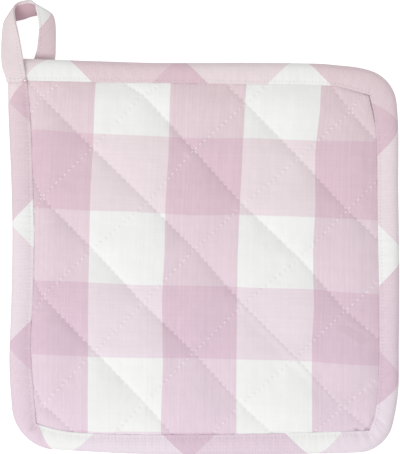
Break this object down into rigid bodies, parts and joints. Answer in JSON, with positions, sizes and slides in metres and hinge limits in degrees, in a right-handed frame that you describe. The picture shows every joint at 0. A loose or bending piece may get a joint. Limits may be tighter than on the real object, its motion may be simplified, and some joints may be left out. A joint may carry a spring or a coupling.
{
  "type": "quilted pot holder",
  "caption": "Square diamond-quilted cotton pot holder with a bias-bound edge, rounded corners and a hanging loop at one corner.",
  "frame": {"origin": "on the plane the pot holder lies on, under the middle of its whole outline seen from above", "axes": "+Z out of the quilted face, +Y towards the edge with the loop, +X to the right with the loop at the upper left"},
  "size_m": [0.2045, 0.2327, 0.009],
  "materials": {
    "pad_cotton": "matt plain-weave cotton in a pink and white gingham check, quilted",
    "binding_cotton": "matt bias-cut gingham cotton strip, folded over the edge and topstitched",
    "loop_cotton": "matt bias-cut gingham cotton strip, folded and stitched along its edge"
  },
  "bodies": {
    "root": {"quilted_pad": "pad_cotton", "edge_binding": "binding_cotton", "hanging_loop": "loop_cotton"}
  },
  "joints": []
}
